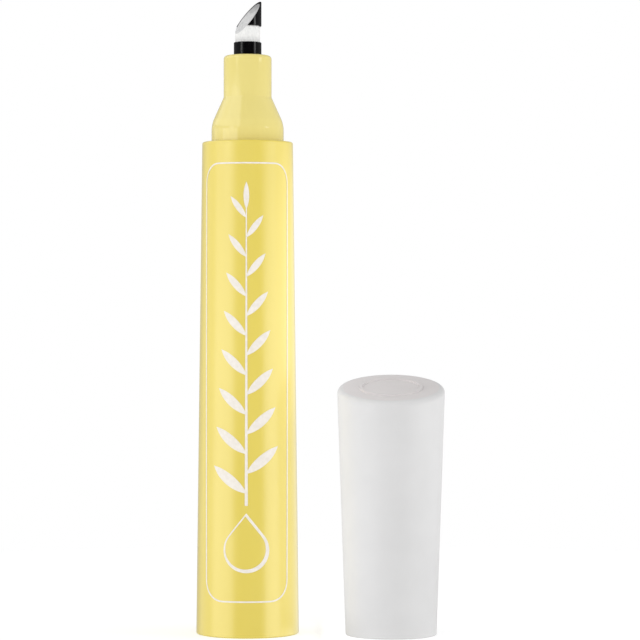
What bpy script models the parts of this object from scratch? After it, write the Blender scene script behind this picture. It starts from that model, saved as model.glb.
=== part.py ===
"""Cuticle remover pen: a felt-tipped cosmetic marker on its foot, with its cap standing beside it.

Units are metres, +Z is up the pen, and the origin is the centre of the pen's foot. The person who
looks at it stands at -Y, and the cap stands at +X with its mouth down.
"""
import math

import bmesh
import bpy
from mathutils import Euler, Vector

# Facets round every turned piece, and steps in every rounded corner
round_facets = 48
arc_steps = 4

# Fits: pieces pressed or snapped together, and pieces that rest on each other
press_gap = 0.00005
seat_gap = 0.0003
cut_overrun = 0.004

# Barrel
barrel_height = 0.0809
barrel_foot_radius = 0.00845
barrel_top_radius = 0.00747
barrel_wall = 0.0012
barrel_foot_ring = 0.00095
barrel_shoulder_width = 0.00152
barrel_lip_rounding = 0.0003
barrel_foot_rounding = 0.0002
barrel_throat_length = 0.0068
snap_height = 0.00015
snap_length = 0.0008

# Tail plug
plug_flange_thickness = 0.0011
plug_skirt_length = 0.0060
plug_skirt_wall = 0.0008
plug_floor_thickness = 0.0016
plug_rest_share = 0.6
plug_rest_width = 0.0008
plug_rest_height = 0.0010
plug_snap_setback = 0.0022

# Fibre reservoir and the film round it
wrap_clearance = 0.00012
wrap_thickness = 0.0002
wrap_setback = 0.0004
reservoir_chamfer = 0.0004
wick_depth = 0.0080

# Nozzle
bell_height = 0.00297
bell_rounding = 0.0045
bell_seat_depth = 0.0015
neck_radius = 0.00395
neck_base_height = 0.0074
neck_length = 0.0069
neck_top_rounding = 0.0006
nozzle_wall = 0.0011
spigot_step = 0.0004
spigot_tail_length = 0.0016

# Black collar bush in the nozzle's neck
collar_radius = 0.00225
collar_reach = 0.0021
collar_land_length = 0.0058
collar_wall = 0.0005
collar_flange_width = 0.00045
collar_flange_thickness = 0.0011
collar_edge_rounding = 0.00015

# Felt core
felt_setback = 0.00019
felt_band_length = 0.00264
wick_point_length = 0.0009
wick_point_radius = 0.0009

# Pusher sleeve and the oblique cut through it and the felt
sleeve_wall = 0.00028
sleeve_edge_rounding = 0.0001
cut_centre_above_band = 0.00136
cut_slope = math.radians(51.9)
cut_azimuth = math.radians(30.0)

# Cap shell
cap_offset = 0.0236
cap_forward = 0.0023
cap_flare = math.radians(1.956)
cap_centre_height = 0.0405
cap_end_tilt = math.radians(13.5)
cap_end_azimuth = math.radians(88.0)
cap_end_rounding = 0.0013
cap_mouth_rounding = 0.00015
cap_bell_clearance = 0.0004
cap_pocket_step = 0.0006
cap_end_wall = 0.0041

# Cap liner, which seals on the neck
liner_wall = 0.0009
liner_lip_setback = 0.0014
liner_lip_rounding = 0.0003
liner_flange_thickness = 0.0012
liner_nib_clearance = 0.00085
liner_tip_clearance = 0.0023
liner_chamber_step = 0.0006
liner_crown_thickness = 0.0015
liner_bead_height = 0.00008
liner_bead_length = 0.0008

# Heights that follow from the sizes above, from the foot up
plug_seat_height = plug_flange_thickness + press_gap
plug_top = plug_flange_thickness + plug_skirt_length
plug_snap_low = plug_top - plug_snap_setback
throat_top = barrel_height - bell_seat_depth - press_gap
throat_bottom = throat_top - barrel_throat_length
spigot_bottom = throat_bottom - spigot_tail_length
reservoir_bottom = plug_floor_thickness + plug_rest_height + seat_gap
reservoir_top = spigot_bottom - seat_gap
wick_bottom = reservoir_top - wick_depth
neck_base = barrel_height + neck_base_height
nozzle_top = neck_base + neck_length
land_bottom = nozzle_top - collar_land_length
collar_top = nozzle_top + collar_reach
band_bottom = collar_top + press_gap
band_top = band_bottom + felt_band_length
sleeve_bottom = band_top + press_gap
cut_height = band_top + cut_centre_above_band


def barrel_radius(height):
    """The barrel's outer radius at a height: a straight taper from the foot to the lip."""
    share = height / barrel_height
    return barrel_foot_radius + (barrel_top_radius - barrel_foot_radius) * share


# Radii that follow, from the barrel inwards
plug_bore_radius = barrel_radius(plug_top) - barrel_wall
reservoir_bore_radius = barrel_radius(throat_bottom) - barrel_wall
plug_skirt_radius = plug_bore_radius - press_gap
plug_flange_radius = barrel_foot_radius - barrel_foot_ring - press_gap
plug_cup_radius = plug_skirt_radius - plug_skirt_wall
wrap_radius = min(reservoir_bore_radius - wrap_clearance, plug_cup_radius - press_gap)
reservoir_radius = wrap_radius - wrap_thickness - press_gap
bell_radius = barrel_top_radius - barrel_shoulder_width
spigot_radius = bell_radius - spigot_step
collar_flange_radius = collar_radius + collar_flange_width
wick_radius = collar_radius - collar_wall - press_gap
felt_radius = collar_radius - felt_setback
sleeve_radius = collar_radius
tip_height = cut_height + sleeve_radius * math.tan(cut_slope)
sleeve_stock_top = tip_height + cut_overrun

# The cap, measured from its mouth, which seats on the barrel's shoulder when the pen is closed
cap_mouth_radius = barrel_top_radius
cap_bore_radius = bell_radius + cap_bell_clearance
cap_far_radius = cap_mouth_radius + cap_centre_height * math.tan(cap_flare)
cap_stock_height = cap_centre_height + cap_far_radius * math.tan(cap_end_tilt) + cut_overrun
cap_pocket_top = cap_centre_height - cap_end_wall
liner_lip_height = neck_base_height + liner_lip_setback
liner_seal_top = liner_lip_height + neck_length
liner_chamber_radius = sleeve_radius + liner_nib_clearance
liner_chamber_top = tip_height - barrel_height + liner_tip_clearance
liner_crown = liner_chamber_top + liner_crown_thickness
cap_bore_depth = liner_crown + seat_gap


def clear_scene():
    """Take out everything that the file opened with."""
    for old in list(bpy.data.objects):
        bpy.data.objects.remove(old, do_unlink=True)


def new_collection(name):
    """A collection under the scene's own."""
    collection = bpy.data.collections.new(name)
    bpy.context.scene.collection.children.link(collection)
    return collection


def make_material(name, colour, roughness, metallic=0.0):
    """One Principled material."""
    material = bpy.data.materials.new(name)
    material.use_nodes = True
    shader = material.node_tree.nodes["Principled BSDF"]
    shader.inputs["Base Color"].default_value = (*colour, 1.0)
    shader.inputs["Roughness"].default_value = roughness
    shader.inputs["Metallic"].default_value = metallic
    return material


def corner_arc(before, corner, after, rounding):
    """Points of the arc that rounds one corner of an outline, from tangent point to tangent point."""
    here = Vector(corner)
    back = (Vector(before) - here).normalized()
    ahead = (Vector(after) - here).normalized()
    half_angle = back.angle(ahead) / 2
    centre = here + (back + ahead).normalized() * (rounding / math.sin(half_angle))
    start = here + back * (rounding / math.tan(half_angle)) - centre
    end = here + ahead * (rounding / math.tan(half_angle)) - centre
    sweep = start.angle_signed(end)
    points = []
    for step in range(arc_steps + 1):
        turn = -sweep * step / arc_steps
        spun_x = start.x * math.cos(turn) - start.y * math.sin(turn)
        spun_y = start.x * math.sin(turn) + start.y * math.cos(turn)
        points.append((centre.x + spun_x, centre.y + spun_y))
    return points


def outline(corners):
    """The profile through corners (radius, height, rounding), where a rounding of zero stays sharp."""
    points = []
    for index, (radius, height, rounding) in enumerate(corners):
        if rounding > 0:
            before = corners[index - 1][:2]
            after = corners[(index + 1) % len(corners)][:2]
            points.extend(corner_arc(before, (radius, height), after, rounding))
        else:
            points.append((radius, height))
    return points


def turned(name, corners, material, collection, parent=None, closed=False):
    """A turned piece: its profile runs down the outer side and is screwed once round the Z axis."""
    points = outline(corners)
    shape = bmesh.new()
    verts = [shape.verts.new((radius, 0, height)) for radius, height in points]
    for first, second in zip(verts, verts[1:]):
        shape.edges.new((first, second))
    if closed:
        shape.edges.new((verts[-1], verts[0]))
    mesh = bpy.data.meshes.new(name)
    shape.to_mesh(mesh)
    shape.free()
    piece = bpy.data.objects.new(name, mesh)
    collection.objects.link(piece)
    mesh.materials.append(material)
    piece.parent = parent
    turn = piece.modifiers.new("Turn", "SCREW")
    turn.axis = "Z"
    turn.angle = math.tau
    turn.steps = round_facets
    turn.render_steps = round_facets
    turn.use_merge_vertices = True
    turn.merge_threshold = press_gap / 10
    turn.use_smooth_shade = True
    return piece


def slanted_block(name, centre, size, tilt, azimuth, collection, parent=None):
    """A cutter whose lower face tilts up towards one azimuth and passes through the centre."""
    bpy.ops.mesh.primitive_cube_add(size=size)
    block = bpy.context.active_object
    block.name = name
    turn = Euler((0, -tilt, azimuth)).to_matrix()
    block.rotation_euler = turn.to_euler()
    block.location = Vector(centre) + turn @ Vector((0, 0, size / 2))
    block.parent = parent
    block.hide_render = True
    block.display_type = "WIRE"
    for holder in list(block.users_collection):
        holder.objects.unlink(block)
    collection.objects.link(block)
    return block


def cut_with(piece, cutter):
    """Take the cutter's shape off the piece."""
    cut = piece.modifiers.new("Cut", "BOOLEAN")
    cut.operation = "DIFFERENCE"
    cut.solver = "EXACT"
    cut.object = cutter


def apply_modifiers(piece):
    """Keep the piece's evaluated mesh as its own."""
    bpy.context.view_layer.update()
    depsgraph = bpy.context.evaluated_depsgraph_get()
    mesh = bpy.data.meshes.new_from_object(piece.evaluated_get(depsgraph))
    piece.modifiers.clear()
    piece.data = mesh


def round_end(piece, direction, width):
    """Bevel the edge of the one flat face that looks along the direction."""
    shape = bmesh.new()
    shape.from_mesh(piece.data)
    end_face = max(shape.faces, key=lambda face: face.normal.dot(direction) * face.calc_area())
    bmesh.ops.bevel(
        shape, geom=list(end_face.edges), offset=width, offset_type="OFFSET",
        segments=arc_steps, profile=0.5, affect="EDGES",
    )
    shape.to_mesh(piece.data)
    shape.free()


def make_barrel(parts):
    """Tapered shell: a seat for the bell, a throat for the spigot, a bore for the reservoir."""
    bell_seat = bell_radius + press_gap
    throat = spigot_radius + press_gap
    flange_bore = plug_flange_radius + press_gap
    snap_bore = plug_bore_radius + snap_height
    snap_high = plug_snap_low + snap_length
    corners = [
        (barrel_top_radius, barrel_height, barrel_lip_rounding),
        (barrel_foot_radius, 0, barrel_foot_rounding),
        (flange_bore, 0, 0),
        (flange_bore, plug_seat_height, 0),
        (plug_bore_radius, plug_seat_height, 0),
        (plug_bore_radius, plug_snap_low - snap_height, 0),
        (snap_bore, plug_snap_low, 0),
        (snap_bore, snap_high, 0),
        (plug_bore_radius, snap_high + snap_height, 0),
        (plug_bore_radius, plug_top, 0),
        (reservoir_bore_radius, throat_bottom, 0),
        (throat, throat_bottom, 0),
        (throat, throat_top, 0),
        (bell_seat, throat_top, 0),
        (bell_seat, barrel_height, 0),
    ]
    colour = make_material("barrel_yellow", (0.87, 0.66, 0.14), 0.32)
    return turned("barrel", corners, colour, parts, closed=True)


def make_tail_plug(parts):
    """Plug in the foot: flange, skirt with a snap bead, and a ring that the reservoir stands on."""
    cup = wrap_radius + press_gap
    rest_outer = reservoir_radius * plug_rest_share
    rest_inner = rest_outer - plug_rest_width
    bead = plug_skirt_radius + snap_height
    bead_high = plug_snap_low + snap_length
    rest_top = plug_floor_thickness + plug_rest_height
    corners = [
        (0, plug_floor_thickness, 0),
        (rest_inner, plug_floor_thickness, 0),
        (rest_inner, rest_top, 0),
        (rest_outer, rest_top, 0),
        (rest_outer, plug_floor_thickness, 0),
        (cup, plug_floor_thickness, 0),
        (cup, plug_top, 0),
        (plug_skirt_radius, plug_top, 0),
        (plug_skirt_radius, bead_high, 0),
        (bead, bead_high - snap_height, 0),
        (bead, plug_snap_low + snap_height, 0),
        (plug_skirt_radius, plug_snap_low, 0),
        (plug_skirt_radius, plug_flange_thickness, 0),
        (plug_flange_radius, plug_flange_thickness, 0),
        (plug_flange_radius, 0, 0),
        (0, 0, 0),
    ]
    return turned("tail_plug", corners, make_material("plug_yellow", (0.84, 0.62, 0.16), 0.4), parts)


def make_reservoir(parts):
    """Bonded fibre rod with a blind hole in its front end for the wick."""
    hole = wick_radius + press_gap
    corners = [
        (0, wick_bottom - seat_gap, 0),
        (hole, wick_bottom - seat_gap, 0),
        (hole, reservoir_top, 0),
        (reservoir_radius - reservoir_chamfer, reservoir_top, 0),
        (reservoir_radius, reservoir_top - reservoir_chamfer, 0),
        (reservoir_radius, reservoir_bottom + reservoir_chamfer, 0),
        (reservoir_radius - reservoir_chamfer, reservoir_bottom, 0),
        (0, reservoir_bottom, 0),
    ]
    return turned("fibre_reservoir", corners, make_material("fibre", (0.82, 0.82, 0.78), 0.9), parts)


def make_wrap(parts):
    """Film tube round the fibre, a little shorter than it."""
    inner = wrap_radius - wrap_thickness
    low = reservoir_bottom + wrap_setback
    high = reservoir_top - wrap_setback
    corners = [(wrap_radius, high, 0), (wrap_radius, low, 0), (inner, low, 0), (inner, high, 0)]
    film = make_material("film", (0.75, 0.78, 0.8), 0.2)
    return turned("reservoir_wrap", corners, film, parts, closed=True)


def make_nozzle(parts):
    """Neck, cone and bell above the shoulder, and a hollow spigot with a snap bead below it."""
    bell_top = barrel_height + bell_height
    hollow_neck = collar_flange_radius + press_gap * 2
    hollow_spigot = spigot_radius - nozzle_wall
    cone_top = neck_base - nozzle_wall
    bead_top = throat_bottom - press_gap
    collar_bore = collar_radius + press_gap
    corners = [
        (neck_radius, nozzle_top, neck_top_rounding),
        (neck_radius, neck_base, 0),
        (bell_radius, bell_top, bell_rounding),
        (bell_radius, throat_top + press_gap, 0),
        (spigot_radius, throat_top + press_gap, 0),
        (spigot_radius, bead_top, 0),
        (spigot_radius + snap_height, bead_top - snap_height, 0),
        (spigot_radius + snap_height, bead_top - snap_length, 0),
        (spigot_radius, spigot_bottom, 0),
        (hollow_spigot, spigot_bottom, 0),
        (hollow_spigot, bell_top, 0),
        (hollow_neck, cone_top, 0),
        (hollow_neck, land_bottom, 0),
        (collar_bore, land_bottom, 0),
        (collar_bore, nozzle_top, 0),
    ]
    pale = make_material("nozzle_yellow", (0.85, 0.73, 0.28), 0.28)
    return turned("nozzle", corners, pale, parts, closed=True)


def make_collar(parts):
    """Black bush: a ring above the nozzle, a shank in its land and a stop flange below."""
    bore = wick_radius + press_gap
    flange_top = land_bottom - press_gap
    flange_bottom = flange_top - collar_flange_thickness
    corners = [
        (collar_radius, collar_top, collar_edge_rounding),
        (collar_radius, flange_top, 0),
        (collar_flange_radius, flange_top, 0),
        (collar_flange_radius, flange_bottom, 0),
        (bore, flange_bottom, 0),
        (bore, collar_top, 0),
    ]
    black = make_material("collar_black", (0.012, 0.011, 0.013), 0.22)
    return turned("nib_collar", corners, black, parts, closed=True)


def make_core(parts, tip_cutter):
    """Felt: a wick that reaches into the reservoir, the bare band, and the cut top in the sleeve."""
    top_radius = sleeve_radius - sleeve_wall - press_gap
    corners = [
        (0, sleeve_stock_top, 0),
        (top_radius, sleeve_stock_top, 0),
        (top_radius, band_top, 0),
        (felt_radius, band_top, 0),
        (felt_radius, band_bottom, 0),
        (wick_radius, band_bottom, 0),
        (wick_radius, wick_bottom + wick_point_length, 0),
        (wick_point_radius, wick_bottom, 0),
        (0, wick_bottom, 0),
    ]
    core = turned("nib_core", corners, make_material("felt", (0.86, 0.86, 0.85), 0.95), parts)
    cut_with(core, tip_cutter)
    return core


def make_sleeve(parts, tip_cutter):
    """Thin black sleeve round the felt's top, open where the oblique cut runs out below it."""
    inner = sleeve_radius - sleeve_wall
    corners = [
        (sleeve_radius, sleeve_stock_top, 0),
        (sleeve_radius, sleeve_bottom, sleeve_edge_rounding),
        (inner, sleeve_bottom, 0),
        (inner, sleeve_stock_top, 0),
    ]
    black = make_material("sleeve_black", (0.012, 0.011, 0.013), 0.22)
    sleeve = turned("pusher_sleeve", corners, black, parts, closed=True)
    cut_with(sleeve, tip_cutter)
    return sleeve


def make_cap_shell(parts, cap_base, end_cutter):
    """Flared shell with a slanted, rounded end, a bore for the liner and a blind pocket above it."""
    stock_radius = cap_mouth_radius + cap_stock_height * math.tan(cap_flare)
    pocket_radius = cap_bore_radius - cap_pocket_step
    corners = [
        (0, cap_stock_height, 0),
        (stock_radius, cap_stock_height, 0),
        (cap_mouth_radius, 0, cap_mouth_rounding),
        (cap_bore_radius, 0, 0),
        (cap_bore_radius, cap_bore_depth, 0),
        (pocket_radius, cap_bore_depth, 0),
        (pocket_radius, cap_pocket_top, 0),
        (0, cap_pocket_top, 0),
    ]
    white = make_material("cap_white", (0.76, 0.75, 0.74), 0.35)
    shell = turned("cap_shell", corners, white, parts, parent=cap_base)
    cut_with(shell, end_cutter)
    apply_modifiers(shell)
    end_direction = Euler((0, -cap_end_tilt, cap_end_azimuth)).to_matrix() @ Vector((0, 0, 1))
    round_end(shell, end_direction, cap_end_rounding)
    return shell


def make_cap_liner(parts, cap_base):
    """Inner cap: a lip with a bead that grips the neck, a narrower chamber and a stop flange."""
    seal = neck_radius + press_gap
    outer = seal + liner_wall
    flange_radius = cap_bore_radius - press_gap
    bead_low = liner_lip_height + liner_lip_rounding + liner_bead_length
    bead_high = bead_low + liner_bead_length
    corners = [
        (0, liner_crown, 0),
        (flange_radius, liner_crown, 0),
        (flange_radius, liner_crown - liner_flange_thickness, 0),
        (outer, liner_crown - liner_flange_thickness, 0),
        (outer, liner_lip_height, liner_lip_rounding),
        (seal, liner_lip_height, liner_lip_rounding),
        (seal, bead_low, 0),
        (seal - liner_bead_height, bead_low + liner_bead_height, 0),
        (seal - liner_bead_height, bead_high - liner_bead_height, 0),
        (seal, bead_high, 0),
        (seal, liner_seal_top, 0),
        (liner_chamber_radius, liner_seal_top + liner_chamber_step, 0),
        (liner_chamber_radius, liner_chamber_top, 0),
        (0, liner_chamber_top, 0),
    ]
    clear = make_material("liner_white", (0.8, 0.8, 0.78), 0.45)
    return turned("cap_liner", corners, clear, parts, parent=cap_base)


def make_cap_base(parts):
    """Empty on the cap's own axis, which is also the line along which it lifts."""
    base = bpy.data.objects.new("cap_base", None)
    base.location = (cap_offset, -cap_forward, 0)
    parts.objects.link(base)
    return base


clear_scene()
pen_parts = new_collection("cuticle_remover_pen")
cutters = new_collection("cutters")

tip_block = slanted_block(
    "tip_cutter", (0, 0, cut_height), sleeve_stock_top - wick_bottom,
    cut_slope, cut_azimuth, cutters,
)
cap_base_empty = make_cap_base(pen_parts)
cap_block = slanted_block(
    "cap_end_cutter", (0, 0, cap_centre_height), cap_stock_height,
    cap_end_tilt, cap_end_azimuth, cutters, parent=cap_base_empty,
)

make_barrel(pen_parts)
make_tail_plug(pen_parts)
make_reservoir(pen_parts)
make_wrap(pen_parts)
make_nozzle(pen_parts)
make_collar(pen_parts)
make_core(pen_parts, tip_block)
make_sleeve(pen_parts, tip_block)
make_cap_shell(pen_parts, cap_base_empty, cap_block)
make_cap_liner(pen_parts, cap_base_empty)
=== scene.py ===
"""Cuticle remover pen: a felt-tipped cosmetic marker on its foot, with its cap standing beside it.

Metres, +Z up the pen. The person who looks at it stands at -Y and sees the cap to the right of the pen.
"""
import math

import bmesh
import bpy
from mathutils import Euler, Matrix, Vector


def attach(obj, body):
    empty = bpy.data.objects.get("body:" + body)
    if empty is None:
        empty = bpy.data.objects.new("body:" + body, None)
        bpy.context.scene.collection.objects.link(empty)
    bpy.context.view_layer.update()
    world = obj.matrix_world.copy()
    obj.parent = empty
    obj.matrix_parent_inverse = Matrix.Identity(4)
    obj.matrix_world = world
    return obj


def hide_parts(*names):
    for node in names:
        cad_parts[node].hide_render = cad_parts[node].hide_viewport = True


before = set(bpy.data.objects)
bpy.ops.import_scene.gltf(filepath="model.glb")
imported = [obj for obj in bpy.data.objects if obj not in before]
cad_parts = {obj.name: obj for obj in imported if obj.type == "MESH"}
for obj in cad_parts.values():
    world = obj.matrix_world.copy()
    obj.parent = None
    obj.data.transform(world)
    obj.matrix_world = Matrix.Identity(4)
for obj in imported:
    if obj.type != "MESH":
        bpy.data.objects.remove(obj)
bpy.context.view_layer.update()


# Barrel
# The long yellow shell, injection moulded in one shot and lacquered to a satin gloss. It is a plain taper,
# widest at the foot. The nozzle snaps into its throat from above, and the plug into its foot from below.
barrel_axis = (0, 0)
barrel_height = 0.0809
barrel_foot_radius = 0.00845
barrel_top_radius = 0.00747
barrel_facets = 144
# points this near to each other are in one place, and those nearer still become one
same_place = 2e-6
merge_reach = 1e-6
rounding_steps = 6
smooth_limit = math.radians(30)
# the noise stays mostly within these spans, so the ramps of colour and gloss run over them
colour_span = (0.35, 0.65)
gloss_span = (0.3, 0.7)


def name_new(name):
    """Name the primitive that was just added, and its mesh."""
    piece = bpy.context.active_object
    piece.name = name
    piece.data.name = name
    return piece


def start_ring(name, facets, radius, height, axis):
    """Add an open circle at its size and place, and stay in edit mode with all of it selected."""
    bpy.ops.object.select_all(action="DESELECT")
    place = (*axis, height)
    bpy.ops.mesh.primitive_circle_add(vertices=facets, radius=radius, fill_type="NOTHING", location=place)
    piece = name_new(name)
    bpy.ops.object.mode_set(mode="EDIT")
    bpy.ops.mesh.select_mode(type="VERT")
    bpy.ops.mesh.select_all(action="SELECT")
    return piece


def pull_rings(rings, axis):
    """Extrude the selected ring along the outline, and scale it to each radius in turn."""
    for (radius, height, _), (next_radius, next_height, _) in zip(rings, rings[1:]):
        bpy.ops.mesh.extrude_region_move(TRANSFORM_OT_translate={"value": (0, 0, next_height - height)})
        growth = next_radius / radius
        bpy.ops.transform.resize(value=(growth, growth, 1), center_override=(*axis, next_height))


def pick_points(piece, chosen):
    """Select the points that a test of their place, in the piece's own space, lets through."""
    bpy.ops.mesh.select_all(action="DESELECT")
    bpy.ops.mesh.select_mode(type="VERT")
    shape = bmesh.from_edit_mesh(piece.data)
    for point in shape.verts:
        point.select = chosen(point.co)
    shape.select_flush(True)
    bmesh.update_edit_mesh(piece.data)


def pick_ring(piece, radius, height):
    """Select one ring by its radius and height. The mesh lies round the object's own origin."""
    level = height - piece.location.z

    def on_ring(point):
        return abs(math.hypot(point.x, point.y) - radius) < same_place and abs(point.z - level) < same_place

    pick_points(piece, on_ring)


def soften_rings(piece, rings):
    """Round the rings that have a rounding: the bevel's reach follows from the corner's angle."""
    for index, (radius, height, rounding) in enumerate(rings):
        if rounding == 0:
            continue
        before = rings[index - 1]
        after = rings[(index + 1) % len(rings)]
        arriving = Vector((radius - before[0], height - before[1]))
        leaving = Vector((after[0] - radius, after[1] - height))
        reach = rounding * math.tan(arriving.angle(leaving) / 2)
        pick_ring(piece, radius, height)
        bpy.ops.mesh.select_mode(type="EDGE")
        bpy.ops.mesh.bevel(
            offset=reach, offset_type="OFFSET", segments=rounding_steps, profile=0.5, clamp_overlap=True
        )


def turn_shell(name, rings, facets, axis, close_foot=False, close_end=False):
    """A turned wall. Its outline comes back to its first ring, or ends in a floor at one end or both."""
    first_radius, first_height, _ = rings[0]
    has_floor = close_foot or close_end
    piece = start_ring(name, facets, first_radius, first_height, axis)
    pull_rings(rings if has_floor else rings + rings[:1], axis)
    if close_end:
        bpy.ops.mesh.edge_face_add()
    if close_foot:
        pick_ring(piece, first_radius, first_height)
        bpy.ops.mesh.edge_face_add()
    bpy.ops.mesh.select_all(action="SELECT")
    bpy.ops.mesh.remove_doubles(threshold=merge_reach)
    soften_rings(piece, rings)
    bpy.ops.mesh.select_all(action="SELECT")
    bpy.ops.mesh.normals_make_consistent(inside=False)
    return piece


def work_on(piece):
    """Select this piece alone, for the operators that follow."""
    bpy.ops.object.select_all(action="DESELECT")
    piece.select_set(True)
    bpy.context.view_layer.objects.active = piece


def apply_modifier(piece, kind, **settings):
    """Add a modifier of a kind, with its settings in the order given, and apply it."""
    bpy.ops.object.modifier_add(type=kind)
    modifier = piece.modifiers[-1]
    for name, value in settings.items():
        setattr(modifier, name, value)
    bpy.ops.object.modifier_apply(modifier=modifier.name)


def settle(piece, body, slot, *nodes):
    """Leave edit mode, put the place in the mesh, smooth the round faces and hand the piece to its body."""
    bpy.ops.object.mode_set(mode="OBJECT")
    work_on(piece)
    bpy.ops.object.transform_apply(location=True, rotation=True, scale=True)
    bpy.ops.object.shade_smooth_by_angle(angle=smooth_limit)
    apply_modifier(piece, "WEIGHTED_NORMAL", keep_sharp=True)
    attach(piece, body)
    if nodes:
        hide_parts(*nodes)


def set_inputs(node, values):
    """Set the inputs of a node that have one value all over and no link."""
    for name, value in (values or {}).items():
        node.inputs[name].default_value = value


def add_node(tree, kind, values=None):
    """Add a node of a kind, with the values of its plain inputs."""
    node = tree.nodes.new(kind)
    set_inputs(node, values)
    return node


def new_finish(name, values=None):
    """A material, its tree, its shader with the values of plain inputs, and the piece's own coordinates."""
    finish = bpy.data.materials.new(name)
    finish.use_nodes = True
    tree = finish.node_tree
    shader = tree.nodes["Principled BSDF"]
    set_inputs(shader, values)
    return finish, tree, shader, add_node(tree, "ShaderNodeTexCoord").outputs["Object"]


def speckle(tree, place, scale, detail=3.0, stretch=(1, 1, 1)):
    """Soft noise at a scale, in patches per metre, drawn out along an axis where its stretch is under 1."""
    mapping = add_node(tree, "ShaderNodeMapping", {"Scale": stretch})
    noise = add_node(tree, "ShaderNodeTexNoise", {"Scale": scale, "Detail": detail})
    tree.links.new(place, mapping.inputs["Vector"])
    tree.links.new(mapping.outputs["Vector"], noise.inputs["Vector"])
    return noise.outputs["Fac"]


def tint(tree, shader, pattern, low, high):
    """Run the base colour from one shade to the other with the pattern."""
    ramp = add_node(tree, "ShaderNodeValToRGB")
    for stop, place, shade in zip(ramp.color_ramp.elements, colour_span, (low, high)):
        stop.position = place
        stop.color = (*shade, 1)
    tree.links.new(pattern, ramp.inputs["Fac"])
    tree.links.new(ramp.outputs["Color"], shader.inputs["Base Color"])


def polish(tree, shader, pattern, low, high):
    """Run the roughness between two values with the pattern."""
    ends = {"From Min": gloss_span[0], "From Max": gloss_span[1], "To Min": low, "To Max": high}
    span = add_node(tree, "ShaderNodeMapRange", ends)
    tree.links.new(pattern, span.inputs["Value"])
    tree.links.new(span.outputs["Result"], shader.inputs["Roughness"])


def relief(tree, shader, pattern, height):
    """Raise the surface by the pattern, as a fine bump of the given height in metres."""
    bump = add_node(tree, "ShaderNodeBump", {"Strength": 1.0, "Distance": height})
    tree.links.new(pattern, bump.inputs["Height"])
    tree.links.new(bump.outputs["Normal"], shader.inputs["Normal"])


def on_taper(height):
    """A ring of the barrel's outer wall, on the straight line between its foot and its lip."""
    taper = (barrel_foot_radius - barrel_top_radius) * height / barrel_height
    return (barrel_foot_radius - taper, height, 0)


lacquer, tree, shader, place = new_finish("satin_yellow_lacquer", {
    "Specular IOR Level": 1.0,
    "Coat Weight": 1.0,
    "Coat Roughness": 0.29,
    "Coat IOR": 1.6,
})
clouds = speckle(tree, place, 160, stretch=(1, 1, 0.25))
tint(tree, shader, clouds, (0.824, 0.660, 0.096), (0.842, 0.678, 0.104))
polish(tree, shader, speckle(tree, place, 420), 0.285, 0.325)
relief(tree, shader, speckle(tree, place, 900, detail=1.0), 0.000001)

# each ring of an outline is a radius, a height and a rounding
barrel_rings = [
    # outer wall and lip
    (barrel_foot_radius, 0, 0.0002),
    on_taper(0.02),
    on_taper(0.04),
    on_taper(0.06),
    (barrel_top_radius, barrel_height, 0.0003),
    # throat, with a wider mouth, and the step below it that the spigot's bead snaps under
    (0.00600, barrel_height, 0.00008),
    (0.00600, 0.07935, 0),
    (0.00560, 0.07935, 0),
    (0.00560, 0.07255, 0),
    (0.00637, 0.07255, 0),
    # bore, with the groove for the plug's bead
    (0.00716, 0.00710, 0),
    (0.00716, 0.00585, 0),
    (0.00731, 0.00570, 0),
    (0.00731, 0.00490, 0),
    (0.00716, 0.00475, 0),
    # seat of the plug's flange
    (0.00716, 0.00115, 0),
    (0.00750, 0.00115, 0),
    (0.00750, 0, 0.00008),
]
barrel = turn_shell("pen_barrel", barrel_rings, barrel_facets, barrel_axis)
barrel.data.materials.append(lacquer)
settle(barrel, "pen", "barrel_yellow", "barrel")


# Print on the barrel
# A screen print in one pale ink, a few hundredths of a millimetre thick: a thin frame with round corners,
# and in it a leafy sprig and a drop. Each is drawn flat, wrapped round the barrel and given its thickness.
print_radius = 0.0080
print_start = (0, -print_radius, 0)
print_width = 0.0158
print_foot = 0.0058
print_top = 0.07724
print_corner_steps = 10
ink_gap = 0.00001
ink_thickness = 0.00003
# the flat print is cut into strips and rows, shifted a little so that no cut meets a corner
strip_width = 0.0005
strip_shift = 0.0001
strips_each_side = 16
row_height = 0.005
row_shift = 0.0003
row_count = 15

ink, tree, shader, place = new_finish("pale_screen_ink", {"Specular IOR Level": 0.4})
tint(tree, shader, speckle(tree, place, 1500), (0.81, 0.76, 0.69), (0.87, 0.82, 0.76))
polish(tree, shader, speckle(tree, place, 800), 0.35, 0.5)
relief(tree, shader, speckle(tree, place, 2600, detail=1.0), 0.000008)


def open_upright(name):
    """Name the flat primitive that was just added, put its turn in its mesh and open it, all selected."""
    piece = name_new(name)
    bpy.ops.object.transform_apply(location=False, rotation=True, scale=False)
    bpy.ops.object.mode_set(mode="EDIT")
    bpy.ops.mesh.select_all(action="SELECT")
    return piece


def flat_plate(name, width, height, middle):
    """Add an upright plate that faces the viewer, in edit mode with all of it selected."""
    bpy.ops.object.select_all(action="DESELECT")
    bpy.ops.mesh.primitive_plane_add(size=1, location=print_start, rotation=(math.pi / 2, 0, 0))
    plate = open_upright(name)
    bpy.ops.transform.resize(value=(width, 1, height), center_override=print_start)
    bpy.ops.transform.translate(value=(0, 0, middle))
    return plate


def pick_level(piece, height):
    """Select the corners of a plate at one height."""
    reach = 0.001
    pick_points(piece, lambda point: abs(point.z - height) < reach)


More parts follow.
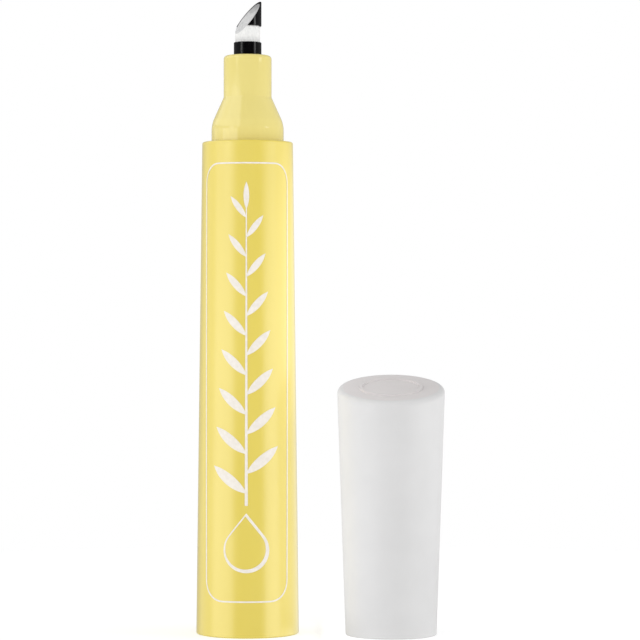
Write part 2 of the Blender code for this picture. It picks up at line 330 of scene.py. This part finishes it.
def wrap_print(piece):
    """Cut the flat print into strips and rows, wrap it round the barrel and thicken it."""
    bpy.ops.object.mode_set(mode="EDIT")
    strips = [step * strip_width + strip_shift for step in range(-strips_each_side, strips_each_side + 1)]
    rows = [step * row_height + row_shift for step in range(1, row_count + 1)]
    cuts = [((strip, 0, 0), (1, 0, 0)) for strip in strips] + [((0, 0, row), (0, 0, 1)) for row in rows]
    for point, normal in cuts:
        bpy.ops.mesh.select_all(action="SELECT")
        bpy.ops.mesh.bisect(plane_co=point, plane_no=normal)
    bpy.ops.object.mode_set(mode="OBJECT")
    work_on(piece)
    sides = [corner[0] for corner in piece.bound_box]
    bend = (max(sides) - min(sides)) / print_radius
    apply_modifier(piece, "SIMPLE_DEFORM", deform_method="BEND", deform_axis="Z", angle=bend)
    apply_modifier(
        piece, "SHRINKWRAP", target=barrel, wrap_method="NEAREST_SURFACEPOINT", wrap_mode="ABOVE_SURFACE",
        offset=ink_gap,
    )
    apply_modifier(piece, "SOLIDIFY", thickness=ink_thickness, offset=1)
    piece.data.materials.append(ink)
    settle(piece, "pen", "barrel_yellow")


# the frame is wrapped further round the narrow end of the barrel, so that its sides look parallel
border_corner = 0.0034
border_line = 0.00025
border_spreads = ((print_foot, 0.920), (print_top, 1.087))
border = flat_plate("print_border", print_width, print_top - print_foot, (print_top + print_foot) / 2)
for level, spread in border_spreads:
    pick_level(border, level)
    bpy.ops.transform.resize(value=(spread, 1, 1), center_override=(0, -print_radius, level))
bpy.ops.mesh.select_all(action="SELECT")
bpy.ops.mesh.bevel(
    offset=border_corner, offset_type="OFFSET", segments=print_corner_steps, profile=0.5, affect="VERTICES"
)
bpy.ops.mesh.select_all(action="SELECT")
bpy.ops.mesh.inset(thickness=border_line, depth=0)
bpy.ops.mesh.delete(type="FACE")
wrap_print(border)

# the drop is a round ring whose upper part runs to a point, with a heavier line on its lower right
drop_radius = 0.0037
drop_facets = 48
drop_middle = 0.0143
drop_shoulder = drop_radius * 0.62
drop_point = drop_radius * 1.62
drop_line = 0.00042
drop_hole_shift = (-0.00014, 0, 0.00016)
bpy.ops.object.select_all(action="DESELECT")
bpy.ops.mesh.primitive_circle_add(
    vertices=drop_facets, radius=drop_radius, fill_type="NGON", location=print_start,
    rotation=(math.pi / 2, 0, 0),
)
drop = open_upright("print_drop")
pick_points(drop, lambda point: point.z > drop_shoulder)
bpy.ops.mesh.merge(type="CENTER")
highest = max(point.co.z for point in bmesh.from_edit_mesh(drop.data).verts)
bpy.ops.transform.translate(value=(0, 0, drop_point - highest))
bpy.ops.mesh.select_all(action="SELECT")
bpy.ops.transform.translate(value=(0, 0, drop_middle))
bpy.ops.mesh.inset(thickness=drop_line, depth=0)
bpy.ops.transform.translate(value=drop_hole_shift)
bpy.ops.mesh.delete(type="FACE")
wrap_print(drop)

# the sprig is one leaf, drawn once and copied up both sides of a stem that narrows to its top
stem_width = 0.0005
stem_narrowing = 0.4
stem_foot = 0.0215
stem_top = 0.0702
stem = flat_plate("print_sprig", stem_width, stem_top - stem_foot, (stem_top + stem_foot) / 2)
pick_level(stem, stem_top)
bpy.ops.transform.resize(value=(stem_narrowing, 1, 1), center_override=(0, -print_radius, stem_top))
bpy.ops.object.mode_set(mode="OBJECT")

# the leaf starts as a square on its corner, which is drawn out and rounded at both sides
leaf_side = 0.0028
leaf_draw = (0.72, 1, 1.75)
leaf_rounding = 0.0030
leaf_stalk = 0.0034
leaf = flat_plate("print_leaf", leaf_side, leaf_side, 0)
bpy.ops.transform.rotate(value=math.radians(45), orient_axis="Y", center_override=print_start)
bpy.ops.transform.resize(value=leaf_draw, center_override=print_start)
pick_points(leaf, lambda point: abs(point.x) > leaf_side / 4)
bpy.ops.mesh.bevel(
    offset=leaf_rounding, offset_type="OFFSET", segments=print_corner_steps, profile=0.5, affect="VERTICES"
)
bpy.ops.mesh.select_all(action="SELECT")
bpy.ops.transform.translate(value=(0, 0, leaf_stalk))
bpy.ops.object.mode_set(mode="OBJECT")

# the leaves get smaller and more upright towards the top, where the first one stands at the stem's end
leaf_count = 15
leaf_margin = 0.002
lowest_lean = 52
highest_lean = 38
lowest_width = 1.15
width_loss = 0.5
lowest_length = 1.05
length_loss = 0.4
end_scale = 0.65
end_overlap = 0.0006
leaves = [leaf]
for index in range(leaf_count):
    work_on(leaf)
    bpy.ops.object.duplicate(linked=False)
    copy = bpy.context.active_object
    side = 1 if index % 2 else -1
    share = index / (leaf_count - 1)
    lean = lowest_lean - (lowest_lean - highest_lean) * share
    height = stem_foot + leaf_margin + (stem_top - stem_foot - 2 * leaf_margin) * share
    copy.location = (0, -print_radius, height)
    copy.rotation_euler = (0, side * math.radians(lean), 0)
    copy.scale = (lowest_width - width_loss * share, 1, lowest_length - length_loss * share)
    leaves.append(copy)
leaf.location = (0, -print_radius, stem_top - end_overlap)
leaf.scale = (end_scale, 1, end_scale)
work_on(stem)
for part in leaves:
    part.select_set(True)
bpy.ops.object.join()
wrap_print(stem)


# Tail plug
# The same yellow plastic, left as moulded: a flange flush with the foot, a skirt with a snap bead, and the
# ring that the reservoir stands on. Its underside has a shallow dish round the stub of the injection gate.
plug_facets = 96
plug, tree, shader, place = new_finish("moulded_yellow")
tint(tree, shader, speckle(tree, place, 300), (0.80, 0.60, 0.135), (0.84, 0.64, 0.15))
polish(tree, shader, speckle(tree, place, 700), 0.38, 0.5)
relief(tree, shader, speckle(tree, place, 2400, detail=2.0), 0.00001)
plug_rings = [
    # gate stub, dish and flange
    (0.00055, 0.00025, 0),
    (0.00075, 0.00045, 0),
    (0.00460, 0.00045, 0.0002),
    (0.00495, 0, 0.00015),
    (0.00745, 0, 0.00015),
    (0.00745, 0.00110, 0),
    # skirt with its bead
    (0.00711, 0.00110, 0),
    (0.00711, 0.00490, 0),
    (0.00726, 0.00505, 0),
    (0.00726, 0.00555, 0),
    (0.00711, 0.00570, 0),
    (0.00711, 0.00710, 0.0001),
    (0.00630, 0.00710, 0.0001),
    (0.00630, 0.00160, 0),
    # ring under the reservoir
    (0.00360, 0.00160, 0),
    (0.00360, 0.00260, 0.0001),
    (0.00280, 0.00260, 0.0001),
    (0.00280, 0.00160, 0),
]
tail_plug = turn_shell("foot_plug", plug_rings, plug_facets, barrel_axis, close_foot=True, close_end=True)
tail_plug.data.materials.append(plug)
settle(tail_plug, "pen", "barrel_yellow", "tail_plug")


# Fibre reservoir
# A rod of white polyester fibres, bonded side by side, which soaks up the liquid. It slides in from the foot
# and stands on the plug's ring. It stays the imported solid, with the drawn-out grain of its fibres.
fibre, tree, shader, place = new_finish("bonded_fibre")
strands = speckle(tree, place, 2600, detail=4.0, stretch=(1, 1, 0.04))
tint(tree, shader, strands, (0.70, 0.70, 0.66), (0.88, 0.88, 0.85))
polish(tree, shader, strands, 0.85, 0.98)
relief(tree, shader, strands, 0.00006)
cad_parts["fibre_reservoir"].data.materials.clear()
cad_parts["fibre_reservoir"].data.materials.append(fibre)


# Film round the reservoir
# A tube of thin clear film, drawn round the fibre rod before it is cut to length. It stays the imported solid.
film, tree, shader, place = new_finish("clear_film", {"Transmission Weight": 0.35, "IOR": 1.49})
creases = speckle(tree, place, 350, detail=2.0, stretch=(1, 1, 0.15))
tint(tree, shader, creases, (0.80, 0.83, 0.85), (0.90, 0.92, 0.93))
polish(tree, shader, creases, 0.12, 0.25)
relief(tree, shader, creases, 0.00003)
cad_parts["reservoir_wrap"].data.materials.clear()
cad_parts["reservoir_wrap"].data.materials.append(film)


# Nozzle
# A paler yellow moulding, left glossy from the mould: straight neck, cone and round-shouldered bell over the
# barrel's mouth, and a hollow spigot below that snaps into the throat.
nozzle_facets = 128
gloss, tree, shader, place = new_finish("glossy_pale_yellow", {"Specular IOR Level": 0.82})
clouds = speckle(tree, place, 220, stretch=(1, 1, 0.3))
tint(tree, shader, clouds, (0.812, 0.693, 0.234), (0.830, 0.711, 0.252))
polish(tree, shader, speckle(tree, place, 500), 0.05, 0.08)
relief(tree, shader, speckle(tree, place, 700, detail=1.0), 0.000004)
nozzle_rings = [
    # neck, cone and bell
    (0.00395, 0.09520, 0.0006),
    (0.00395, 0.08830, 0.0004),
    (0.00595, 0.08387, 0.0045),
    (0.00595, 0.07940, 0),
    # spigot with its bead
    (0.00555, 0.07940, 0),
    (0.00555, 0.07250, 0),
    (0.00570, 0.07235, 0),
    (0.00570, 0.07170, 0),
    (0.00555, 0.07095, 0),
    # bore, with the land that stops the collar
    (0.00445, 0.07095, 0.0002),
    (0.00445, 0.08387, 0),
    (0.00280, 0.08720, 0),
    (0.00280, 0.08940, 0),
    (0.00230, 0.08940, 0),
    (0.00230, 0.09520, 0.00012),
]
nozzle = turn_shell("pale_nozzle", nozzle_rings, nozzle_facets, barrel_axis)
nozzle.data.materials.append(gloss)
settle(nozzle, "pen", "nozzle_yellow", "nozzle")


# Nib collar
# A glossy black bush, pushed up into the neck until its flange stops it. It stands two millimetres out of the
# neck and holds the felt in the middle.
nib_facets = 96
black, tree, shader, place = new_finish("black_moulding", {
    "Specular IOR Level": 0.0,
    "Coat Weight": 0.22,
    "Coat IOR": 2.5,
    "Coat Roughness": 0.1,
})
tint(tree, shader, speckle(tree, place, 900), (0.0022, 0.0020, 0.0026), (0.0036, 0.0033, 0.0040))
polish(tree, shader, speckle(tree, place, 1200), 0.20, 0.26)
relief(tree, shader, speckle(tree, place, 2000, detail=1.0), 0.000003)
collar_rings = [
    # bush, and the flange at its foot
    (0.00228, 0.09735, 0.00006),
    (0.00228, 0.08935, 0),
    (0.00270, 0.08935, 0),
    (0.00270, 0.08825, 0.0001),
    # bore
    (0.00175, 0.08825, 0),
    (0.00175, 0.09735, 0.00003),
]
collar = turn_shell("black_collar", collar_rings, nib_facets, barrel_axis)
collar.data.materials.append(black)
settle(collar, "pen", "black_plastic", "nib_collar")


# Felt
# One rod of pressed white fibre. Its thin end reaches down into the reservoir, the bare band shows above the
# collar, and its top fills the black sleeve. Both are cut on one oblique plane, and the felt's cut is coloured
# greyer.
cut_point = (0, 0, 0.10135)
cut_slope = math.radians(51.9)
cut_side = math.radians(30)
# heights and greys: the band carries painted shade just above the collar, and the cut gets darker towards its
# tip
band_painted_shade = ((0.0974, 0.93), (0.0976, 0.84), (0.0980, 0.91), (0.09835, 1.0))
cut_shades = ((0.1016, 1.0), (0.1021, 0.92), (0.1026, 0.76), (0.1033, 0.55))


def slant(slope, side):
    """The normal of a plane that rises towards a side at a slope."""
    return (-math.sin(slope) * math.cos(side), -math.sin(slope) * math.sin(side), math.cos(slope))


def shade_by_height(tree, shader, place, shades):
    """Multiply the base colour by a grey that changes with height."""
    lowest, highest = shades[0][0], shades[-1][0]
    height = add_node(tree, "ShaderNodeSeparateXYZ")
    span = add_node(tree, "ShaderNodeMapRange", {"From Min": lowest, "From Max": highest})
    ramp = add_node(tree, "ShaderNodeValToRGB")
    stops = ramp.color_ramp.elements
    for level, _ in shades[1:-1]:
        stops.new((level - lowest) / (highest - lowest))
    for stop, (_, grey) in zip(stops, shades):
        stop.color = (grey, grey, grey, 1)
    darken = add_node(tree, "ShaderNodeVectorMath")
    darken.operation = "MULTIPLY"
    colour = shader.inputs["Base Color"].links[0].from_socket
    tree.links.new(place, height.inputs["Vector"])
    tree.links.new(height.outputs["Z"], span.inputs["Value"])
    tree.links.new(span.outputs["Result"], ramp.inputs["Fac"])
    tree.links.new(colour, darken.inputs[0])
    tree.links.new(ramp.outputs["Color"], darken.inputs[1])
    tree.links.new(darken.outputs["Vector"], shader.inputs["Base Color"])


felt, tree, shader, place = new_finish("white_felt", {"Specular IOR Level": 0.1, "Sheen Weight": 0.15})
wool = speckle(tree, place, 4200, detail=5.0, stretch=(1, 1, 0.5))
tint(tree, shader, wool, (0.77, 0.77, 0.76), (0.86, 0.86, 0.85))
# the band's greys are painted shade where the felt meets the collar
shade_by_height(tree, shader, place, band_painted_shade)
polish(tree, shader, wool, 0.9, 1.0)
relief(tree, shader, wool, 0.00004)
ground_felt, tree, shader, place = new_finish("ground_felt", {"Specular IOR Level": 0.1})
wool = speckle(tree, place, 3000, detail=5.0)
tint(tree, shader, wool, (0.54, 0.54, 0.54), (0.72, 0.72, 0.72))
# the cut's greys make it darker towards its tip
shade_by_height(tree, shader, place, cut_shades)
polish(tree, shader, wool, 0.9, 1.0)
relief(tree, shader, wool, 0.00006)
felt_rings = [
    # wick
    (0.00090, 0.06265, 0),
    (0.00170, 0.06355, 0),
    (0.00170, 0.09735, 0),
    # bare band
    (0.00206, 0.09735, 0.00008),
    (0.00206, 0.09999, 0.00008),
    # filling of the sleeve, up to above the cut
    (0.00198, 0.09999, 0),
    (0.00198, 0.10800, 0),
]


def grind_off(piece, point, slope, side):
    """Take off what lies above a slanted plane, with a block that is set on it, and go back to edit mode."""
    block_size = 0.02
    turn = Euler((0, -slope, side))
    middle = Vector(point) + turn.to_matrix() @ Vector((0, 0, block_size / 2))
    bpy.ops.object.mode_set(mode="OBJECT")
    bpy.ops.object.select_all(action="DESELECT")
    bpy.ops.mesh.primitive_cube_add(size=block_size, location=middle, rotation=turn)
    block = bpy.context.active_object
    work_on(piece)
    apply_modifier(piece, "BOOLEAN", operation="DIFFERENCE", solver="EXACT", object=block)
    bpy.data.objects.remove(block)
    bpy.ops.object.mode_set(mode="EDIT")


def pick_cut(piece, point, slope, side):
    """Select the faces that lie on a slanted plane and face the way that it does."""
    plane_reach = 5e-6
    same_facing = 0.99
    normal = Vector(slant(slope, side))
    bpy.ops.mesh.select_all(action="DESELECT")
    bpy.ops.mesh.select_mode(type="FACE")
    shape = bmesh.from_edit_mesh(piece.data)
    for face in shape.faces:
        away = (piece.matrix_world @ face.calc_center_median() - Vector(point)).dot(normal)
        face.select = abs(away) < plane_reach and face.normal.dot(normal) > same_facing
    shape.select_flush(True)
    bmesh.update_edit_mesh(piece.data)


def finish_cut(piece, wall_finish, cut_finish, point, slope, side):
    """Give the piece its finish, and the faces on the cut theirs. They stay selected."""
    piece.data.materials.append(wall_finish)
    piece.data.materials.append(cut_finish)
    pick_cut(piece, point, slope, side)
    piece.active_material_index = 1
    bpy.ops.object.material_slot_assign()


felt_rod = turn_shell("felt_rod", felt_rings, nib_facets, barrel_axis, close_foot=True, close_end=True)
grind_off(felt_rod, cut_point, cut_slope, cut_side)
finish_cut(felt_rod, felt, ground_felt, cut_point, cut_slope, cut_side)
settle(felt_rod, "pen", "felt", "nib_core")


# Pusher sleeve
# A thin black sleeve, moulded round the felt's top and ground off with it. Its oblique rim does the pushing,
# and it is open on its low side, where the cut runs out below it.
sleeve_radius = 0.00228
sleeve_bore_radius = 0.00202
sleeve_foot = 0.10004
sleeve_rounding = 0.0001
above_the_cut = 0.10800
rim_rounding = 0.00004
rim_steps = 2
dull_black, tree, shader, place = new_finish("ground_black", {"Specular IOR Level": 0.15})
tint(tree, shader, speckle(tree, place, 3000), (0.006, 0.006, 0.007), (0.014, 0.014, 0.015))
polish(tree, shader, speckle(tree, place, 2400), 0.7, 0.85)
relief(tree, shader, speckle(tree, place, 5000), 0.000006)
sleeve_rings = [
    (sleeve_radius, above_the_cut, 0),
    (sleeve_radius, sleeve_foot, sleeve_rounding),
    (sleeve_bore_radius, sleeve_foot, 0),
    (sleeve_bore_radius, above_the_cut, 0),
]
sleeve = turn_shell("black_sleeve", sleeve_rings, nib_facets, barrel_axis)
grind_off(sleeve, cut_point, cut_slope, cut_side)
pick_cut(sleeve, cut_point, cut_slope, cut_side)
bpy.ops.mesh.region_to_loop()
bpy.ops.mesh.bevel(
    offset=rim_rounding, offset_type="OFFSET", segments=rim_steps, profile=0.5, clamp_overlap=True
)
# sharp lines beside both roundings keep the wall's own shading upright
bpy.ops.mesh.region_to_loop()
bpy.ops.mesh.mark_sharp()
pick_ring(sleeve, sleeve_radius, sleeve_foot + sleeve_rounding)
bpy.ops.mesh.mark_sharp()
finish_cut(sleeve, black, dull_black, cut_point, cut_slope, cut_side)
settle(sleeve, "pen", "black_plastic", "pusher_sleeve")


# Cap shell
# The off-white cap, moulded with a fine satin surface. It flares towards its closed end, which is slanted
# towards the viewer and softly rounded, with one plain raised ring on it.
cap_axis = (0.0236, -0.0023)
cap_facets = 144
cap_end_point = (*cap_axis, 0.0405)
cap_end_slope = math.radians(13.5)
cap_end_side = math.radians(88)
cap_end_rounding = 0.0009
cap_end_steps = 10
cap_mouth_radius = 0.00747
cap_flare = math.tan(math.radians(1.956))
cap_wall_levels = (0.012, 0.024, 0.036, 0.048)
ring_inset = 0.0027
ring_slope = 0.00008
ring_width = 0.00045
ring_height = 0.00025


def satin_white(name, low, high):
    """The cap's satin finish, between two whites."""
    finish, tree, shader, place = new_finish(name, {"Specular IOR Level": 0.69})
    tint(tree, shader, speckle(tree, place, 180), low, high)
    polish(tree, shader, speckle(tree, place, 600), 0.42, 0.5)
    relief(tree, shader, speckle(tree, place, 3600, detail=2.0), 0.000006)
    return finish


wall_white = satin_white("satin_off_white", (0.663, 0.660, 0.660), (0.682, 0.679, 0.679))
# the slanted end gets a warmer copy of the wall's finish: painted warm light from above on the same plastic
end_painted_warm_light = satin_white("satin_end_painted_warm_light", (0.678, 0.648, 0.644), (0.700, 0.668, 0.664))
cap_rings = [
    # stepped bore, and the mouth
    (0.00575, 0.03640, 0.0005),
    (0.00575, 0.02742, 0),
    (0.00635, 0.02742, 0),
    (0.00635, 0, 0.0001),
    (cap_mouth_radius, 0, 0.00015),
    # outer wall, up to above the slanted end
    *((cap_mouth_radius + level * cap_flare, level, 0) for level in cap_wall_levels),
]
cap = turn_shell("white_cap", cap_rings, cap_facets, cap_axis, close_foot=True)
bpy.ops.mesh.select_all(action="SELECT")
bpy.ops.mesh.bisect(
    plane_co=cap_end_point, plane_no=slant(cap_end_slope, cap_end_side), use_fill=True, clear_outer=True
)
pick_cut(cap, cap_end_point, cap_end_slope, cap_end_side)
bpy.ops.mesh.region_to_loop()
bpy.ops.mesh.bevel(
    offset=cap_end_rounding, offset_type="OFFSET", segments=cap_end_steps, profile=0.5, clamp_overlap=True
)
finish_cut(cap, wall_white, end_painted_warm_light, cap_end_point, cap_end_slope, cap_end_side)
for inwards, upwards in (
    (ring_inset, 0),
    (ring_slope, ring_height),
    (ring_width, 0),
    (ring_slope, -ring_height),
):
    bpy.ops.mesh.inset(thickness=inwards, depth=upwards)
settle(cap, "cap", "cap_white", "cap_shell")


# Cap liner
# A natural polypropylene inner cap, pushed up the bore and held there by its flange. Its lip and bead grip
# the nozzle's neck, and its narrow chamber encloses the felt.
liner_facets = 96
natural, tree, shader, place = new_finish("natural_polypropylene", {
    "Subsurface Weight": 0.15,
    "Subsurface Radius": (0.002, 0.002, 0.002),
})
tint(tree, shader, speckle(tree, place, 260), (0.78, 0.78, 0.75), (0.84, 0.84, 0.82))
polish(tree, shader, speckle(tree, place, 500), 0.3, 0.42)
relief(tree, shader, speckle(tree, place, 1800, detail=2.0), 0.000008)
liner_rings = [
    # flange and outer wall
    (0.00630, 0.02712, 0),
    (0.00630, 0.02592, 0),
    (0.00490, 0.02592, 0),
    (0.00490, 0.00880, 0.0003),
    # lip and bead for the neck
    (0.00400, 0.00880, 0.0003),
    (0.00400, 0.00990, 0),
    (0.00392, 0.00998, 0),
    (0.00392, 0.01062, 0),
    (0.00400, 0.01070, 0),
    # chamber for the felt
    (0.00400, 0.01570, 0),
    (0.00310, 0.01630, 0),
    (0.00310, 0.02562, 0),
]
liner = turn_shell("inner_cap", liner_rings, liner_facets, cap_axis, close_foot=True, close_end=True)
liner.data.materials.append(natural)
settle(liner, "cap", "liner_white", "cap_liner")


# Floor
# A round of pale board. To the camera it is white, apart from the soft shadow that the pen and cap leave.
# To other rays it gives back even light, and mirror rays pass through it.
floor_radius = 0.17
floor_facets = 128
floor_middle = (0.012, 0, -0.00002)
floor_bounce = 0.97
floor_white = 0.55
floor_grey = (0.60, 0.60, 0.60, 1)


def empty_tree(owner):
    """The node tree of a new material or world, with nothing in it."""
    owner.use_nodes = True
    owner.node_tree.nodes.clear()
    return owner.node_tree


def white_light(tree, kind, strength=1.0):
    """A white emission or background of a strength."""
    return add_node(tree, kind, {"Color": (1, 1, 1, 1), "Strength": strength})


def choose(tree, ray, usual, other):
    """Show most rays one shader, and rays of one kind another."""
    choice = add_node(tree, "ShaderNodeMixShader")
    tree.links.new(ray, choice.inputs["Fac"])
    tree.links.new(usual.outputs[0], choice.inputs[1])
    tree.links.new(other.outputs[0], choice.inputs[2])
    return choice


bpy.ops.object.select_all(action="DESELECT")
bpy.ops.mesh.primitive_circle_add(
    vertices=floor_facets, radius=floor_radius, fill_type="NGON", location=floor_middle
)
floor = name_new("floor")
board = bpy.data.materials.new("pale_board")
tree = empty_tree(board)
rays = add_node(tree, "ShaderNodeLightPath")
shadow = add_node(tree, "ShaderNodeBsdfDiffuse", {"Color": floor_grey})
shown = add_node(tree, "ShaderNodeAddShader")
tree.links.new(shadow.outputs[0], shown.inputs[0])
tree.links.new(white_light(tree, "ShaderNodeEmission", floor_white).outputs[0], shown.inputs[1])
bounce = white_light(tree, "ShaderNodeEmission", floor_bounce)
to_camera = choose(tree, rays.outputs["Is Camera Ray"], bounce, shown)
clear = add_node(tree, "ShaderNodeBsdfTransparent")
to_mirrors = choose(tree, rays.outputs["Is Glossy Ray"], to_camera, clear)
surface = add_node(tree, "ShaderNodeOutputMaterial")
tree.links.new(to_mirrors.outputs[0], surface.inputs["Surface"])
floor.data.materials.append(board)

# a white card between pen and cap keeps the barrel's colour off the cap. It is less bright towards the pen,
# and only light that passes between their walls meets it
card_middle = (0.0118, 0, 0.042)
card_width = 0.03
card_height = 0.08
card_to_cap = 1.27
card_to_pen = 1.05
bpy.ops.object.select_all(action="DESELECT")
bpy.ops.mesh.primitive_plane_add(size=1, location=card_middle, rotation=(0, math.pi / 2, 0))
card = open_upright("bounce_card")
bpy.ops.transform.resize(value=(1, card_width, card_height), center_override=card_middle)
bpy.ops.object.mode_set(mode="OBJECT")
paper = bpy.data.materials.new("white_card")
tree = empty_tree(paper)
facing = add_node(tree, "ShaderNodeNewGeometry")
two_sides = add_node(tree, "ShaderNodeMapRange", {"To Min": card_to_cap, "To Max": card_to_pen})
glow = white_light(tree, "ShaderNodeEmission")
surface = add_node(tree, "ShaderNodeOutputMaterial")
tree.links.new(facing.outputs["Backfacing"], two_sides.inputs["Value"])
tree.links.new(two_sides.outputs["Result"], glow.inputs["Strength"])
tree.links.new(glow.outputs[0], surface.inputs["Surface"])
card.data.materials.append(paper)
card.visible_camera = False
card.visible_glossy = False
card.visible_transmission = False
card.visible_shadow = False


# Light
# A white tent, even from all sides, which shiny walls mirror darker towards the viewer. Large soft boxes give
# the curved walls their upright bands, narrow strips the black pieces' thin ones, and a fill lifts the front.
fill_level = 0.53
# mirror rays see a tent that gets lighter from the first to the last of these directions along Y
mirrored_span = (-0.6, 0.9)
mirrored_levels = (0.0, 0.46)
world = bpy.data.worlds.new("studio_tent")
bpy.context.scene.world = world
tree = empty_tree(world)
rays = add_node(tree, "ShaderNodeLightPath")
backdrop = white_light(tree, "ShaderNodeBackground")
fill = white_light(tree, "ShaderNodeBackground", fill_level)
mirrored = white_light(tree, "ShaderNodeBackground")
direction = add_node(tree, "ShaderNodeTexCoord")
split = add_node(tree, "ShaderNodeSeparateXYZ")
gap = add_node(tree, "ShaderNodeMapRange", {
    "From Min": mirrored_span[0],
    "From Max": mirrored_span[1],
    "To Min": mirrored_levels[0],
    "To Max": mirrored_levels[1],
})
tree.links.new(direction.outputs["Generated"], split.inputs["Vector"])
tree.links.new(split.outputs["Y"], gap.inputs["Value"])
tree.links.new(gap.outputs["Result"], mirrored.inputs["Strength"])
straight = add_node(tree, "ShaderNodeMath")
straight.operation = "MAXIMUM"
tree.links.new(rays.outputs["Is Camera Ray"], straight.inputs[0])
tree.links.new(rays.outputs["Is Transmission Ray"], straight.inputs[1])
to_mirrors = choose(tree, rays.outputs["Is Glossy Ray"], fill, mirrored)
to_camera = choose(tree, straight.outputs[0], to_mirrors, backdrop)
sky = add_node(tree, "ShaderNodeOutputWorld")
tree.links.new(to_camera.outputs[0], sky.inputs["Surface"])


def soft_box(name, side, distance, width, low, high, brightness, mirrored_too=True):
    """An upright lamp that faces pen and cap, at an angle from the viewer. Its face shows the brightness."""
    pair_middle = 0.006
    height = high - low
    lamp = bpy.data.lights.new(name, "AREA")
    lamp.shape = "RECTANGLE"
    lamp.size = width
    lamp.size_y = height
    lamp.energy = brightness * math.pi * width * height
    holder = bpy.data.objects.new(name, lamp)
    angle = math.radians(side)
    across = pair_middle + distance * math.sin(angle)
    holder.location = (across, -distance * math.cos(angle), (low + high) / 2)
    holder.rotation_euler = (math.pi / 2, 0, angle)
    holder.visible_camera = False
    holder.visible_glossy = mirrored_too
    bpy.context.scene.collection.objects.link(holder)


# side in degrees, distance, width, lowest and highest point, and brightness
soft_box("left_box", -58, 0.5, 0.50, -0.13, 0.135, 1.35)
soft_box("left_wing", -108, 0.5, 0.42, -0.13, 0.135, 0.4)
soft_box("left_tall_box", -56, 0.5, 0.60, 0.2, 0.75, 1.02)
soft_box("left_tall_wing", -110, 0.5, 0.45, 0.2, 0.6, 0.65)
soft_box("left_strip", -51, 0.5, 0.13, 0.146, 0.185, 2.7)
soft_box("right_box", 60, 0.5, 0.35, -0.13, 0.107, 1.68)
soft_box("right_wing", 101, 0.5, 0.38, -0.13, 0.107, 1.38)
soft_box("right_back_box", 142, 0.5, 0.35, -0.13, 0.107, 0.5)
soft_box("right_tall_box", 80, 0.5, 0.40, 0.2, 0.55, 1.6, mirrored_too=False)
soft_box("right_strip", 65, 0.5, 0.15, 0.146, 0.185, 2.4)
soft_box("front_fill", 0, 0.7, 0.5, 0.1, 0.6, 1.3, mirrored_too=False)


# Camera
# Level with the middle of the pen and straight in front of it, through a long lens, as the photograph is.
camera = bpy.data.objects.new("camera", bpy.data.cameras.new("camera"))
bpy.context.scene.collection.objects.link(camera)
camera.data.lens = 150
camera.data.sensor_width = 36
camera.location = (0.01194, -0.44, 0.0516)
camera.rotation_euler = (math.pi / 2, 0, 0)
bpy.context.scene.camera = camera
bpy.context.scene.view_settings.view_transform = "Standard"
